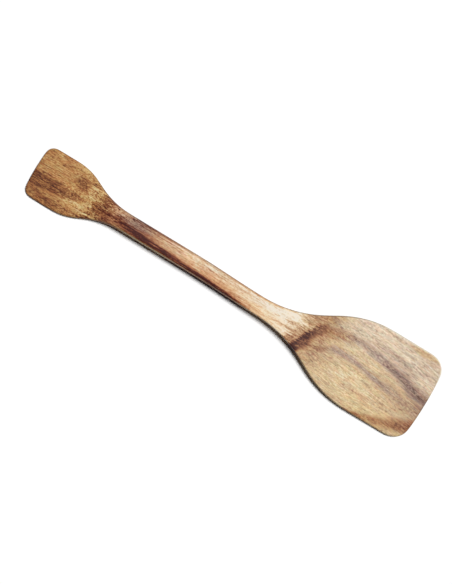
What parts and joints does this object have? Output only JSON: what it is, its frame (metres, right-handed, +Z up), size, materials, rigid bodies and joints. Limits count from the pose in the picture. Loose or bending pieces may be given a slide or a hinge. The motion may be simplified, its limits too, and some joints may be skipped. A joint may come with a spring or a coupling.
{
  "type": "wooden spatula",
  "caption": "Double-ended wooden cooking spatula: a broad flat blade and a narrow flat blade joined by a slim rounded handle, all carved from the same board.",
  "frame": {"origin": "on the surface that the spatula lies on, under the middle of its box", "axes": "+X along the length towards the broad blade, +Y across the blades, +Z up out of the surface"},
  "size_m": [0.33, 0.0674, 0.011],
  "materials": {
    "oiled_hardwood": "satin, oiled figured hardwood with dark heartwood streaks"
  },
  "bodies": {
    "root": {"spatula_body": "oiled_hardwood"}
  },
  "joints": []
}
